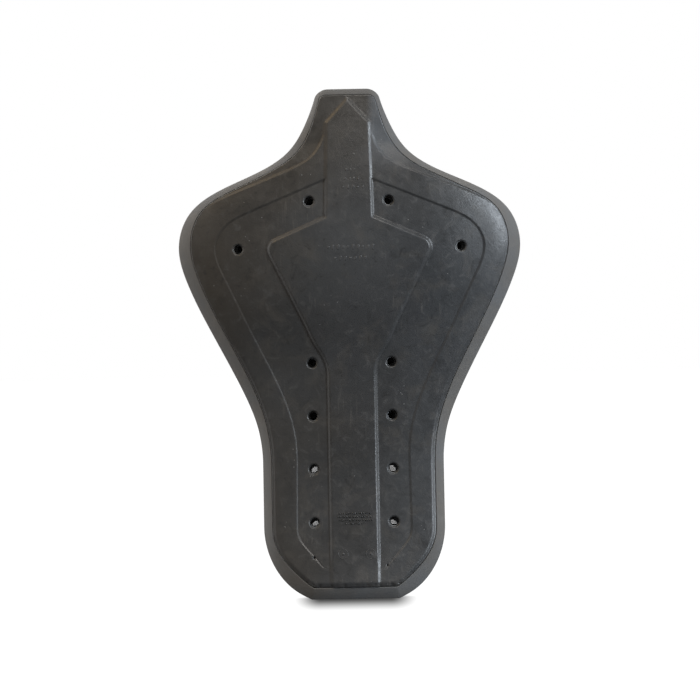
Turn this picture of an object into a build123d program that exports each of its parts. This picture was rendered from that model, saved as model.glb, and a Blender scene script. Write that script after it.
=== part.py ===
from build123d import *
import math
import os

os.makedirs("parts", exist_ok=True)

# Motorcycle back protector insert. Millimetres.
# +Z runs up along the spine, the outer face looks along -Y, the wearer's back is at +Y.
# Every layer follows one curved reference surface: y = front_depth(x, z).

# ---- overall size
HEIGHT = 450.0
HALF_WIDTH = 151.5

# ---- lengthwise curve of the outer face
WAIST_Z = 175.0             # hollow of the lumbar curve
THORAX_Z = 320.0            # fullest point of the thoracic curve
LUMBAR_RADIUS = 620.0
THORAX_RISE = 12.0          # the thorax stands this far forward of the waist
NECK_FALL = 5.0             # extra set-back at the top of the neck

# ---- crosswise curve of the outer face
CROSS_RADIUS = 390.0

# ---- layers, as depths behind the reference surface
SHELL_THICKNESS = 3.0
FLOOR_FRONT = 10.0          # bottom of the pocket in the base pad
PAD_BACK = 14.0
LINER_THICKNESS = 2.4
GLUE_LINE = 0.1

# ---- rim of the base pad
RIM_INNER_DEPTH = 1.5
RIM_OUTER_DEPTH = 9.0
RIM_SAMPLE_STEP = 10.0      # spacing of the points that carry the rim round the outline
RIM_OVERRUN = 0.35          # how far the slope runs on past both of its edges, as a share

# ---- relief of the outer shell
SPINE_PROUD = 1.8
SPINE_HALF_WIDTH = 21.0
PANEL_SUNK = 1.2

# ---- vents
VENT_SHELL_DIA = 8.6        # the vents narrow from the outer face to the wearer's side
VENT_ABSORBER_DIA = 7.6
VENT_PAD_DIA = 6.8
VENT_LINER_DIA = 6.0
VENT_REACH = 8.0            # how far a vent tool stands proud of the layers at each end
SPINE_VENT_X = 35.0
SPINE_VENT_Z = 67.6
SPINE_VENT_PITCH = 46.8
SPINE_VENT_ROWS = 4
OPEN_VENT_TOP = 120.0        # the vents below this height go on through the body liner
UPPER_VENTS = [(35.0, 350.6), (98.5, 309.3)]

# ---- absorbers
NECK_BLOCK_Z = 400.0        # above this level one block fills the neck

# ---- working sizes
FAR = 90.0
TOTAL_DEPTH = PAD_BACK + GLUE_LINE + LINER_THICKNESS


def front_depth(x, z):
    """Set-back of the outer face at x and z; a smaller value is further forward."""
    cross = CROSS_RADIUS - math.sqrt(CROSS_RADIUS**2 - x**2)
    if z < WAIST_Z:
        return cross - (WAIST_Z - z) ** 2 / (2 * LUMBAR_RADIUS)
    turn = math.pi * (z - WAIST_Z) / (THORAX_Z - WAIST_Z)
    thorax = -THORAX_RISE * (1 - math.cos(turn)) / 2
    over = max(0.0, z - THORAX_Z) / (HEIGHT - THORAX_Z)
    return cross + thorax + NECK_FALL * over**2


def on_surface(x, z, depth):
    """Point that lies depth behind the reference surface."""
    return Vector(x, front_depth(x, z) + depth, z)


def surface_normal(x, z):
    """Unit vector square to the outer face, pointing into the protector."""
    step = 0.5
    slope_x = (front_depth(x + step, z) - front_depth(x - step, z)) / (2 * step)
    slope_z = (front_depth(x, z + step) - front_depth(x, z - step)) / (2 * step)
    return Vector(-slope_x, 1.0, -slope_z).normalized()


def make_reference_face():
    margin = 14.0
    columns = 13
    rows = 25
    half = HALF_WIDTH + margin
    tall = HEIGHT + 2 * margin
    grid = []
    for row in range(rows):
        z = -margin + tall * row / (rows - 1)
        line = []
        for column in range(columns):
            x = -half + 2 * half * column / (columns - 1)
            line.append(on_surface(x, z, 0.0))
        grid.append(line)
    return Face.make_surface_from_array_of_points(grid, tol=0.02)


REFERENCE_FACE = make_reference_face()


def layer(start, end):
    """Curved slab between two depths behind the reference surface."""
    face = REFERENCE_FACE.moved(Location((0, start, 0)))
    return Solid.extrude(face, Vector(0, end - start, 0))


# ---------------------------------------------------------------- outlines
# Outlines are drawn in plan, x across and z up, and only the right half is given.

def smooth(points, start, end):
    """Curve through the points that leaves along start and arrives along end."""
    return Spline(*points, tangents=[start, end], tangent_scalars=[1, 1])


def outer_half():
    """Right half of the outer outline, from the top of the neck to the foot."""
    shoulder_to_waist = [
        (28.7, 442.0), (35.8, 422.6), (51.7, 396.2), (77.8, 378.4), (117.0, 360.7),
        (141.0, 342.5), (HALF_WIDTH, 312.0), (144.5, 281.0), (123.8, 237.0),
        (96.6, 184.0), (83.6, 150.0), (80.6, 132.0), (80.0, 120.0),
    ]
    foot = [(80.0, 64.0), (73.4, 33.6), (53.0, 8.0), (38.5, 0.0)]
    return [
        Line((0, HEIGHT), (17.0, HEIGHT)),
        ThreePointArc((17.0, HEIGHT), (25.2, 447.0), shoulder_to_waist[0]),
        smooth(shoulder_to_waist, (0.28, -1), (0, -1)),
        Line((80.0, 120.0), (80.0, 64.0)),
        smooth(foot, (0, -1), (-1, -0.45)),
        Line((38.5, 0), (0, 0)),
    ]


def plateau_half():
    """Right half of the line where the bevelled rim meets the outer shell."""
    shoulder_to_waist = [
        (25.2, 439.0), (32.0, 416.8), (46.0, 393.2), (72.0, 375.8), (107.0, 359.5),
        (129.6, 344.5), (140.6, 315.0), (134.7, 286.0), (112.0, 236.5),
        (86.5, 185.0), (75.6, 152.0), (72.8, 133.0), (72.2, 120.0),
    ]
    foot = [(72.2, 62.0), (66.0, 40.5), (48.0, 19.5), (36.5, 10.5)]
    return [
        Line((0, 444.5), (17.5, 444.5)),
        ThreePointArc((17.5, 444.5), (23.1, 442.8), shoulder_to_waist[0]),
        smooth(shoulder_to_waist, (0.28, -1), (0, -1)),
        Line((72.2, 120.0), (72.2, 62.0)),
        smooth(foot, (0, -1), (-1, -0.6)),
        Line((36.5, 10.5), (0, 10.5)),
    ]


def panel_half():
    """Outline of the right recessed wing panel, between the spine and the shoulder."""
    outer_edge = [
        (82.0, 344.7), (107.0, 332.3), (118.7, 314.0), (110.5, 283.5), (90.0, 240.0),
        (66.0, 191.0), (53.5, 156.5), (49.6, 122.0),
    ]
    foot = [(50.2, 66.0), (46.5, 50.0), (SPINE_HALF_WIDTH + 1.5, 26.0)]
    inner = SPINE_HALF_WIDTH - 4.0
    return [
        Line((inner, 371.0), (27.0, 367.2)),
        Line((27.0, 367.2), outer_edge[0]),
        smooth(outer_edge, (2.2, -1), (0.02, -1)),
        Line(outer_edge[-1], foot[0]),
        smooth(foot, (0, -1), (-1, -1)),
        Line(foot[-1], (inner, 26.0)),
        Line((inner, 26.0), (inner, 371.0)),
    ]


def spine_half():
    """Right half of the raised spine: arrow head, neck, trapezoid and long bar."""
    side = SPINE_HALF_WIDTH
    trapezoid_corner = [(65.5, 317.3), (71.2, 311.5), (67.5, 298.0)]
    waist = [(41.5, 245.0), (31.5, 224.0), (side + 2.0, 209.0), (side, 196.0)]
    return [
        Line((0, 441.0), (side - 2.0, 420.0)),
        Line((side - 2.0, 420.0), (side, 336.5)),
        Line((side, 336.5), trapezoid_corner[0]),
        smooth(trapezoid_corner, (2.3, -1), (-0.49, -1)),
        Line(trapezoid_corner[-1], waist[0]),
        smooth(waist, (-0.49, -1), (0, -1)),
        Line((side, 196.0), (side, 10.5)),
        Line((side, 10.5), (0, 10.5)),
    ]


def mirrored_face(half):
    """Closed face from the right half of a symmetrical outline."""
    right = Curve() + half
    return make_face(right + mirror(right, about=Plane.YZ))


def prism(face):
    """Column along Y that has the given plan."""
    return extrude(Plane.XZ.offset(-FAR) * face, amount=2 * FAR)


def whole(shape):
    """The single solid in a result, as a Solid."""
    solids = shape.solids()
    if len(solids) != 1:
        raise ValueError("expected one solid, found %d" % len(solids))
    return solids[0]


# ---------------------------------------------------------------- vents

def vent_positions():
    places = list(UPPER_VENTS)
    for row in range(SPINE_VENT_ROWS):
        places.append((SPINE_VENT_X, SPINE_VENT_Z + row * SPINE_VENT_PITCH))
    return [(side * x, z) for x, z in places for side in (1, -1)]


def vent_tool(x, z, diameter):
    """Pin, square to the outer face, that opens one vent through a layer."""
    inward = surface_normal(x, z)
    start = on_surface(x, z, PANEL_SUNK) - inward * VENT_REACH
    plane = Plane(origin=start, z_dir=inward)
    return Solid.make_cylinder(diameter / 2, TOTAL_DEPTH + 2 * VENT_REACH, plane)


def vented(solid, diameter, top=HEIGHT):
    """The solid with every vent below a height opened through it."""
    for x, z in vent_positions():
        if z < top:
            solid = solid - vent_tool(x, z, diameter)
    return solid


# ---------------------------------------------------------------- pieces

def make_outer_shell():
    """Thin outer skin with the raised spine and the two sunk wing panels."""
    skin = layer(0, SHELL_THICKNESS) & prism(PLATEAU)
    panel = make_face(Curve() + panel_half()) - SPINE
    sunk = layer(-FAR / 2, PANEL_SUNK)
    for side_panel in (panel, mirror(panel, about=Plane.YZ)):
        skin = skin - (sunk & prism(side_panel))
    raised = layer(-SPINE_PROUD, SHELL_THICKNESS / 2) & prism(SPINE)
    return whole(vented(skin + raised, VENT_SHELL_DIA))


def rim_cutters():
    """Everything in front of the sloping rim, on the right half, one piece for each edge."""
    cutters = []
    for outer_edge, plateau_edge in zip(outer_half(), plateau_half()):
        samples = 4 + int(outer_edge.length / RIM_SAMPLE_STEP)
        near = []
        far = []
        for index in range(samples):
            share = index / (samples - 1)
            outer = outer_edge @ share
            inner = plateau_edge @ share
            top = on_surface(inner.X, inner.Y, RIM_INNER_DEPTH)
            edge = on_surface(outer.X, outer.Y, RIM_OUTER_DEPTH)
            near.append(top - (edge - top) * RIM_OVERRUN)
            far.append(edge + (edge - top) * RIM_OVERRUN)
        ruled = Face.make_surface_from_curves(Edge.make_spline(near), Edge.make_spline(far))
        cutters.append(Solid.extrude(ruled, Vector(0, -FAR / 2, 0)))
    return cutters


def make_base_pad():
    """Soft moulding with a bevelled rim and the pocket that holds the other layers."""
    pad = layer(0, PAD_BACK) & prism(OUTER)
    for cutter in rim_cutters():
        pad = pad - cutter
        pad = pad - mirror(cutter, about=Plane.YZ)
    pocket = layer(-FAR / 2, FLOOR_FRONT) & prism(PLATEAU)
    return whole(vented(pad - pocket, VENT_PAD_DIA))


def make_body_liner():
    """Breathable lining on the wearer's side. It closes the upper vents with its mesh."""
    start = PAD_BACK + GLUE_LINE
    liner = layer(start, start + LINER_THICKNESS) & prism(PLATEAU)
    return whole(vented(liner, VENT_LINER_DIA, OPEN_VENT_TOP))


def absorber_space():
    """The room between the outer shell and the floor of the pocket."""
    return layer(SHELL_THICKNESS + GLUE_LINE, FLOOR_FRONT - GLUE_LINE) & prism(PLATEAU)


def spine_zone():
    """Plan of the spine absorber: the raised spine, its foot and the whole neck."""
    bar = Pos(0, HEIGHT / 2) * Rectangle(2 * SPINE_HALF_WIDTH, 2 * HEIGHT)
    neck = Pos(0, NECK_BLOCK_Z + HEIGHT / 2) * Rectangle(2 * HALF_WIDTH, HEIGHT)
    return SPINE + bar + neck


def make_spine_absorber():
    return whole(vented(absorber_space() & prism(spine_zone()), VENT_ABSORBER_DIA))


def make_wing_absorber(side):
    """Absorber of one wing; it butts against the spine absorber."""
    rest = vented(absorber_space() - prism(spine_zone()), VENT_ABSORBER_DIA)
    halves = [solid for solid in rest.solids() if solid.center().X * side > 0]
    return max(halves, key=lambda solid: solid.volume)


OUTER = mirrored_face(outer_half())
PLATEAU = mirrored_face(plateau_half())
SPINE = mirrored_face(spine_half())

pieces = {
    "outer_shell": make_outer_shell(),
    "spine_absorber": make_spine_absorber(),
    "right_wing_absorber": make_wing_absorber(1),
    "left_wing_absorber": make_wing_absorber(-1),
    "base_pad": make_base_pad(),
    "body_liner": make_body_liner(),
}

# The origin is under the middle of the whole protector, at the level of its foot.
box = Compound(list(pieces.values())).bounding_box()
centring = Location((-box.center().X, -box.center().Y, -box.min.Z))
for name, solid in pieces.items():
    placed = solid.moved(centring)
    placed.label = name
    export_step(placed, os.path.join("parts", name + ".step"))
print("overall size", box.size, "depth shift", -box.center().Y)
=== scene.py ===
import math

import bpy
import numpy as np
from mathutils import Euler, Matrix, Vector
from mathutils.geometry import delaunay_2d_cdt


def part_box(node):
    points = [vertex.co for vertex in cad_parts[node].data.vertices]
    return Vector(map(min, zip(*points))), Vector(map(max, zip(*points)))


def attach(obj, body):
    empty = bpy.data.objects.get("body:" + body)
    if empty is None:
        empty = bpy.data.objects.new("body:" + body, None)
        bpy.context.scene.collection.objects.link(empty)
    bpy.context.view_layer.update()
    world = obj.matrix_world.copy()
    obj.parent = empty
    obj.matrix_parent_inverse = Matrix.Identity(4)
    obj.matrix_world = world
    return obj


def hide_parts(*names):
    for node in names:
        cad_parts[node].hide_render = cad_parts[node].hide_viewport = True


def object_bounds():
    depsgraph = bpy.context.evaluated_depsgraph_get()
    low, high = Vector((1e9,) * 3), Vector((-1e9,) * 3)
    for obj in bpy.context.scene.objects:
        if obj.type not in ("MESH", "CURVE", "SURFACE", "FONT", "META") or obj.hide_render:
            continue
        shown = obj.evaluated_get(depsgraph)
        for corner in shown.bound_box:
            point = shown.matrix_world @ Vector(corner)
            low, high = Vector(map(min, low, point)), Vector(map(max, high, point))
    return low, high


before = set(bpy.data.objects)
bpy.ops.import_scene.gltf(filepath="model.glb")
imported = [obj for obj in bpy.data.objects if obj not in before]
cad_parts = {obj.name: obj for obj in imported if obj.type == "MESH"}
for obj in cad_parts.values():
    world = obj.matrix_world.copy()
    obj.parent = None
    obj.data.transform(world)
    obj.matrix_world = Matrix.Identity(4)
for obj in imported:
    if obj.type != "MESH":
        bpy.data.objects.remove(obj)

CAD_LOW, CAD_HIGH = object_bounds()

# Back protector insert. Meshes are worked out in millimetres and made in metres.
# x runs across, z runs up, and depths grow along +Y, from the outer face to the wearer.
MM = 0.001

# ---- curved reference surface
HEIGHT = 450.0
HALF_WIDTH = 151.5
WAIST_Z = 175.0
THORAX_Z = 320.0
LUMBAR_RADIUS = 620.0
THORAX_RISE = 12.0
NECK_FALL = 5.0
CROSS_RADIUS = 390.0

# ---- layers
SHELL_THICKNESS = 3.0
FLOOR_FRONT = 10.0
PAD_BACK = 14.0
LINER_FRONT = 14.1
LINER_BACK = 16.5
RIM_INNER_DEPTH = 1.5
RIM_OUTER_DEPTH = 9.0
NECK_BLOCK_Z = 400.0
PLATEAU_FOOT_Z = 10.5

# ---- relief of the outer shell
SPINE_PROUD = 1.3
SPINE_HALF_WIDTH = 21.0
SPINE_WALL = 3.9
PANEL_SUNK = 0.8
PANEL_WALL = 1.95
CREASE_STEP = 0.75          # small wall along the shoulder crease
CREASE_WALL = 1.5
FACET_SLOPE = 0.12          # fall of the surface between that wall and the rim
FACET_DROP = 1.2            # the most that it falls
EDGE_ROLL = 1.1             # fall of the shell's edge over the shoulders
EDGE_CHAMFER = 1.15         # fall of its chamfer lower down

# ---- vents
VENT_MOUTH_RADIUS = 5.3
VENT_FRONT_RADIUS = 4.3
VENT_BACK_RADIUS = 3.0
SPINE_VENT_X = 35.0
SPINE_VENT_Z = 67.6
SPINE_VENT_PITCH = 46.8
SPINE_VENT_ROWS = 4
UPPER_VENTS = [(35.0, 350.6), (98.5, 309.3)]
VENT_SIDES = 32
RING_TURNS = -2 * np.pi * np.arange(VENT_SIDES) / VENT_SIDES     # clockwise in plan

STEP = 1.6                  # spacing of the points along an outline
GRID_REACH = 160.0          # half width of the grids of points
HEX_ROW = 0.866             # height of a row of triangles, as a share of their side
MIRROR = np.array([-1.0, 1.0])  # turns the right half of a plan into the left one


# ======== reference surface

def reference_depth(x, z):
    """Set-back of the outer face, before relief; x and z are arrays in millimetres."""
    cross = CROSS_RADIUS - np.sqrt(CROSS_RADIUS**2 - x**2)
    lumbar = -((WAIST_Z - z) ** 2) / (2 * LUMBAR_RADIUS)
    turn = np.pi * (z - WAIST_Z) / (THORAX_Z - WAIST_Z)
    over = np.maximum(0.0, z - THORAX_Z) / (HEIGHT - THORAX_Z)
    thorax = -THORAX_RISE * (1 - np.cos(turn)) / 2 + NECK_FALL * over**2
    return cross + np.where(z < WAIST_Z, lumbar, thorax)


# The CAD model centres its depth on the origin: its frontmost line is the foot of the spine.
CAD_SPINE_PROUD = 1.8
FRONTMOST = reference_depth(np.array(0.0), np.array(PLATEAU_FOOT_Z)) - CAD_SPINE_PROUD
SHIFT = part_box("outer_shell")[0].y / MM - float(FRONTMOST)


def surface_normal(x, z):
    """Unit vector square to the outer face, pointing in towards the wearer."""
    step = 0.5
    px, pz = np.array(x), np.array(z)
    slope_x = (reference_depth(px + step, pz) - reference_depth(px - step, pz)) / (2 * step)
    slope_z = (reference_depth(px, pz + step) - reference_depth(px, pz - step)) / (2 * step)
    normal = np.array([-float(slope_x), 1.0, -float(slope_z)])
    return normal / np.linalg.norm(normal)


def smooth(t):
    t = np.clip(t, 0, 1)
    return t * t * (3 - 2 * t)


def ramp(value, start, length):
    """0 to 1, smoothly, from start to start + length."""
    return smooth((value - start) / length)


def wall(t, corner=0.22):
    """0 to 1 along a straight slope with rounded ends."""
    t = np.clip(t, 0, 1)
    low = t**2 / (2 * corner * (1 - corner))
    high = 1 - (1 - t) ** 2 / (2 * corner * (1 - corner))
    straight_part = (t - corner / 2) / (1 - corner)
    return np.where(t < corner, low, np.where(t > 1 - corner, high, straight_part))


def sloped(t, corner=0.6):
    """0 to 1 along a slope that starts rounded and ends straight."""
    t = np.clip(t, 0, 1)
    return np.where(t < corner, t**2 / (2 * corner), t - corner / 2) / (1 - corner / 2)


# ======== outlines

def spline(points, start, end, count):
    """count points along the smooth curve through points, with unit tangents at its ends."""
    p = np.array(points, float)
    gaps = np.linalg.norm(np.diff(p, axis=0), axis=1)
    knots = np.concatenate([[0], np.cumsum(gaps)])
    n = len(p)
    matrix = np.zeros((n, n))
    right = np.zeros((n, 2))
    matrix[0, 0] = matrix[-1, -1] = 1
    right[0] = np.array(start, float) / np.linalg.norm(start)
    right[-1] = np.array(end, float) / np.linalg.norm(end)
    for i in range(1, n - 1):
        a, b = gaps[i - 1], gaps[i]
        matrix[i, i - 1], matrix[i, i], matrix[i, i + 1] = b, 2 * (a + b), a
        right[i] = 3 * (b / a * (p[i] - p[i - 1]) + a / b * (p[i + 1] - p[i]))
    slopes = np.linalg.solve(matrix, right)
    at = np.linspace(0, knots[-1], count)
    which = np.clip(np.searchsorted(knots, at, side="right") - 1, 0, n - 2)
    h = gaps[which][:, None]
    t = (at - knots[which])[:, None] / h
    p0, p1, m0, m1 = p[which], p[which + 1], slopes[which], slopes[which + 1]
    return (
        (2 * t**3 - 3 * t**2 + 1) * p0
        + (t**3 - 2 * t**2 + t) * h * m0
        + (3 * t**2 - 2 * t**3) * p1
        + (t**3 - t**2) * h * m1
    )


def straight(a, b):
    return {"points": [a, b]}


def bent(points, start, end):
    return {"points": points, "start": start, "end": end}


def edge_length(edge):
    p = np.array(edge["points"], float)
    return np.linalg.norm(np.diff(p, axis=0), axis=1).sum()


def along(edge, count):
    if "start" in edge:
        return spline(edge["points"], edge["start"], edge["end"], count)
    a, b = np.array(edge["points"], float)
    return a + (b - a) * np.linspace(0, 1, count)[:, None]


def counts_of(edges, step=STEP):
    return [max(3, int(edge_length(e) / step) + 2) for e in edges]


def joined(edges, counts):
    """The edges end to end, as points."""
    pieces = [along(e, c)[:-1] for e, c in zip(edges, counts)]
    return np.vstack(pieces + [np.array([edges[-1]["points"][-1]], float)])


def closed_loop(edges, counts):
    """The right half of a symmetrical outline and its mirror image, clockwise from the top."""
    right = joined(edges, counts)
    left = right[1:-1][::-1] * MIRROR
    return np.vstack([right, left])


OUTER_HALF = [
    straight((0, HEIGHT), (17.0, HEIGHT)),
    bent([(17.0, HEIGHT), (25.2, 447.0), (28.7, 442.0)], (1, 0), (0.28, -1)),
    bent(
        [(28.7, 442.0), (35.8, 422.6), (51.7, 396.2), (77.8, 378.4), (117.0, 360.7),
         (141.0, 342.5), (HALF_WIDTH, 312.0), (144.5, 281.0), (123.8, 237.0),
         (96.6, 184.0), (83.6, 150.0), (80.6, 132.0), (80.0, 120.0)],
        (0.28, -1), (0, -1)),
    straight((80.0, 120.0), (80.0, 64.0)),
    bent([(80.0, 64.0), (73.4, 33.6), (53.0, 8.0), (38.5, 0.0)], (0, -1), (-1, -0.45)),
    straight((38.5, 0), (0, 0)),
]
PLATEAU_HALF = [
    straight((0, 444.5), (17.5, 444.5)),
    bent([(17.5, 444.5), (23.1, 442.8), (25.2, 439.0)], (1, 0), (0.28, -1)),
    bent(
        [(25.2, 439.0), (32.0, 416.8), (46.0, 393.2), (72.0, 375.8), (107.0, 359.5),
         (129.6, 344.5), (140.6, 315.0), (134.7, 286.0), (112.0, 236.5),
         (86.5, 185.0), (75.6, 152.0), (72.8, 133.0), (72.2, 120.0)],
        (0.28, -1), (0, -1)),
    straight((72.2, 120.0), (72.2, 62.0)),
    bent([(72.2, 62.0), (66.0, 40.5), (48.0, 19.5), (36.5, PLATEAU_FOOT_Z)], (0, -1), (-1, -0.6)),
    straight((36.5, PLATEAU_FOOT_Z), (0, PLATEAU_FOOT_Z)),
]
SPINE_HALF = [
    straight((0, 441.0), (SPINE_HALF_WIDTH - 2.0, 420.0)),
    straight((SPINE_HALF_WIDTH - 2.0, 420.0), (SPINE_HALF_WIDTH, 336.5)),
    straight((SPINE_HALF_WIDTH, 336.5), (65.5, 317.3)),
    bent([(65.5, 317.3), (71.2, 311.5), (67.5, 298.0)], (2.3, -1), (-0.49, -1)),
    straight((67.5, 298.0), (41.5, 245.0)),
    bent([(41.5, 245.0), (31.5, 224.0), (SPINE_HALF_WIDTH + 2.0, 209.0), (SPINE_HALF_WIDTH, 196.0)],
         (-0.49, -1), (0, -1)),
    straight((SPINE_HALF_WIDTH, 196.0), (SPINE_HALF_WIDTH, 2.0)),
    straight((SPINE_HALF_WIDTH, 2.0), (0, 2.0)),
]
PANEL_FOOT_X = 26.0
PANEL = [
    straight((SPINE_HALF_WIDTH - 4.0, 371.5), (27.0, 367.2)),
    straight((27.0, 367.2), (82.0, 344.7)),
    bent(
        [(82.0, 344.7), (107.0, 332.3), (118.7, 314.0), (110.5, 283.5), (90.0, 240.0),
         (66.0, 191.0), (53.5, 156.5), (49.6, 122.0)],
        (2.2, -1), (0.02, -1)),
    straight((49.6, 122.0), (50.5, 63.0)),
    bent([(50.5, 63.0), (49.3, 55.5), (46.0, 49.6)], (0, -1), (-0.65, -0.76)),
    straight((46.0, 49.6), (PANEL_FOOT_X, 26.0)),
    straight((PANEL_FOOT_X, 26.0), (SPINE_HALF_WIDTH - 4.0, 26.0)),
    straight((SPINE_HALF_WIDTH - 4.0, 26.0), (SPINE_HALF_WIDTH - 4.0, 371.5)),
]
CREASE = [
    bent(
        [(20.0, 420.0), (22.4, 404.0), (30.0, 391.5), (54.0, 377.3), (98.0, 360.0),
         (129.0, 343.6), (136.0, 336.0)],
        (0.05, -1), (1, -1.3)),
]
FACET_CLOSE = [(160.0, 336.0), (160.0, 460.0), (0.0, 460.0), (0.0, 442.0)]

LOOP_COUNTS = counts_of(OUTER_HALF)
OUTER = closed_loop(OUTER_HALF, LOOP_COUNTS)
PLATEAU = closed_loop(PLATEAU_HALF, LOOP_COUNTS)
SPINE = closed_loop(SPINE_HALF, counts_of(SPINE_HALF))
RIGHT_PANEL = joined(PANEL, counts_of(PANEL))[:-1]
LEFT_PANEL = RIGHT_PANEL[::-1] * MIRROR
RIGHT_CREASE = joined(CREASE, counts_of(CREASE))
RIGHT_FACET = np.vstack([RIGHT_CREASE, np.array(FACET_CLOSE)])
FACET_FOOT = np.vstack([np.array([(0.0, 441.0)]), RIGHT_CREASE])
VENTS = [
    (side * x, z)
    for x, z in UPPER_VENTS
    + [(SPINE_VENT_X, SPINE_VENT_Z + i * SPINE_VENT_PITCH) for i in range(SPINE_VENT_ROWS)]
    for side in (1, -1)
]


def outward(loop):
    """Unit outward normals of a clockwise closed loop."""
    tangent = np.roll(loop, -1, axis=0) - np.roll(loop, 1, axis=0)
    tangent /= np.maximum(np.linalg.norm(tangent, axis=1), 1e-9)[:, None]
    return np.column_stack([-tangent[:, 1], tangent[:, 0]])


def moved_out(loop, distance):
    return loop + outward(loop) * distance


def distance_to(points, line, closed=True):
    """Distance from each point to a polyline."""
    a = line if closed else line[:-1]
    b = np.roll(line, -1, axis=0) if closed else line[1:]
    ab = b - a
    square = np.maximum((ab**2).sum(1), 1e-12)
    best = np.empty(len(points))
    chunk = 2000
    for i in range(0, len(points), chunk):
        p = points[i : i + chunk, None, :]
        t = np.clip(((p - a) * ab).sum(2) / square, 0, 1)
        near = a + t[..., None] * ab
        best[i : i + chunk] = np.sqrt((((p - near) ** 2).sum(2)).min(1))
    return best


def inside(points, loop):
    """True for the points within a closed loop, by the even-odd rule."""
    a, b = loop, np.roll(loop, -1, axis=0)
    found = np.zeros(len(points), bool)
    chunk = 4000
    for i in range(0, len(points), chunk):
        x = points[i : i + chunk, 0][:, None]
        z = points[i : i + chunk, 1][:, None]
        spans = (a[:, 1] > z) != (b[:, 1] > z)
        rise = np.where(b[:, 1] == a[:, 1], 1e-9, b[:, 1] - a[:, 1])
        cut = a[:, 0] + (z - a[:, 1]) * (b[:, 0] - a[:, 0]) / rise
        found[i : i + chunk] = ((x < cut) & spans).sum(1) % 2 == 1
    return found


def signed_distance(points, loop):
    """Distance to a closed loop, negative inside it."""
    return np.where(inside(points, loop), -1.0, 1.0) * distance_to(points, loop)


# ======== plan triangulation

def thinned(points, gap, kept=None):
    """Points no closer than gap to each other or to those in kept."""
    cells = {}

    def key(p):
        return int(p[0] // gap), int(p[1] // gap)

    def clear(p):
        i, j = key(p)
        for u in (i - 1, i, i + 1):
            for v in (j - 1, j, j + 1):
                for q in cells.get((u, v), ()):
                    if (p[0] - q[0]) ** 2 + (p[1] - q[1]) ** 2 < gap * gap:
                        return False
        return True

    for p in [] if kept is None else kept:
        cells.setdefault(key(p), []).append(p)
    chosen = []
    for p in points:
        if clear(p):
            cells.setdefault(key(p), []).append(p)
            chosen.append(p)
    return np.array(chosen).reshape(-1, 2)


def hex_grid(spacing):
    rows = []
    z = 0.0
    odd = False
    while z < HEIGHT:
        x = np.arange(-GRID_REACH, GRID_REACH, spacing) + (spacing / 2 if odd else 0.0)
        rows.append(np.column_stack([x, np.full(len(x), z)]))
        z += spacing * HEX_ROW
        odd = not odd
    return np.vstack(rows)


def circle(centre, radius):
    """A ring in plan, clockwise."""
    return np.column_stack([centre[0] + radius * np.cos(RING_TURNS), centre[1] + radius * np.sin(RING_TURNS)])


def well_inside(points, loop, margin, holes, radius):
    """The points inside a loop by more than margin, and further than radius from the holes."""
    good = inside(points, loop) & (distance_to(points, loop) > margin)
    for x, z in holes:
        good &= np.hypot(points[:, 0] - x, points[:, 1] - z) > radius
    return points[good]


def triangulated(loops, inner):
    """Triangles that fill the first loop outside the others, through the inner points."""
    points = np.vstack(loops + [inner])
    edges = []
    start = 0
    for loop in loops:
        n = len(loop)
        edges += [(start + i, start + (i + 1) % n) for i in range(n)]
        start += n
    found = delaunay_2d_cdt([Vector(p) for p in points], edges, [], 0, 1e-6, True)
    if len(found[0]) != len(points):
        raise ValueError("the outline crosses itself")
    order = np.array([ids[0] for ids in found[3]])
    triangles = order[np.array(found[2])]
    middle = points[triangles].mean(1)
    keep = inside(middle, loops[0])
    for hole in loops[1:]:
        keep &= ~inside(middle, hole)
    triangles = triangles[keep]
    a, b, c = (points[triangles[:, i]] for i in range(3))
    turn = (b[:, 0] - a[:, 0]) * (c[:, 1] - a[:, 1]) - (b[:, 1] - a[:, 1]) * (c[:, 0] - a[:, 0])
    triangles[turn < 0] = triangles[turn < 0][:, ::-1]
    return points, triangles


def wide_plan(loop, centres, hole_radius, hole_margin, spacing):
    """A loop with round holes, filled by a wide grid."""
    holes = [circle(v, hole_radius) for v in centres]
    grid = thinned(hex_grid(spacing), spacing / 2, kept=np.vstack([loop] + holes))
    return triangulated([loop] + holes, well_inside(grid, loop, 1.0, centres, hole_radius + hole_margin))


def placed(name, data):
    """A new object in the scene."""
    made = bpy.data.objects.new(name, data)
    bpy.context.scene.collection.objects.link(made)
    return made


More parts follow.
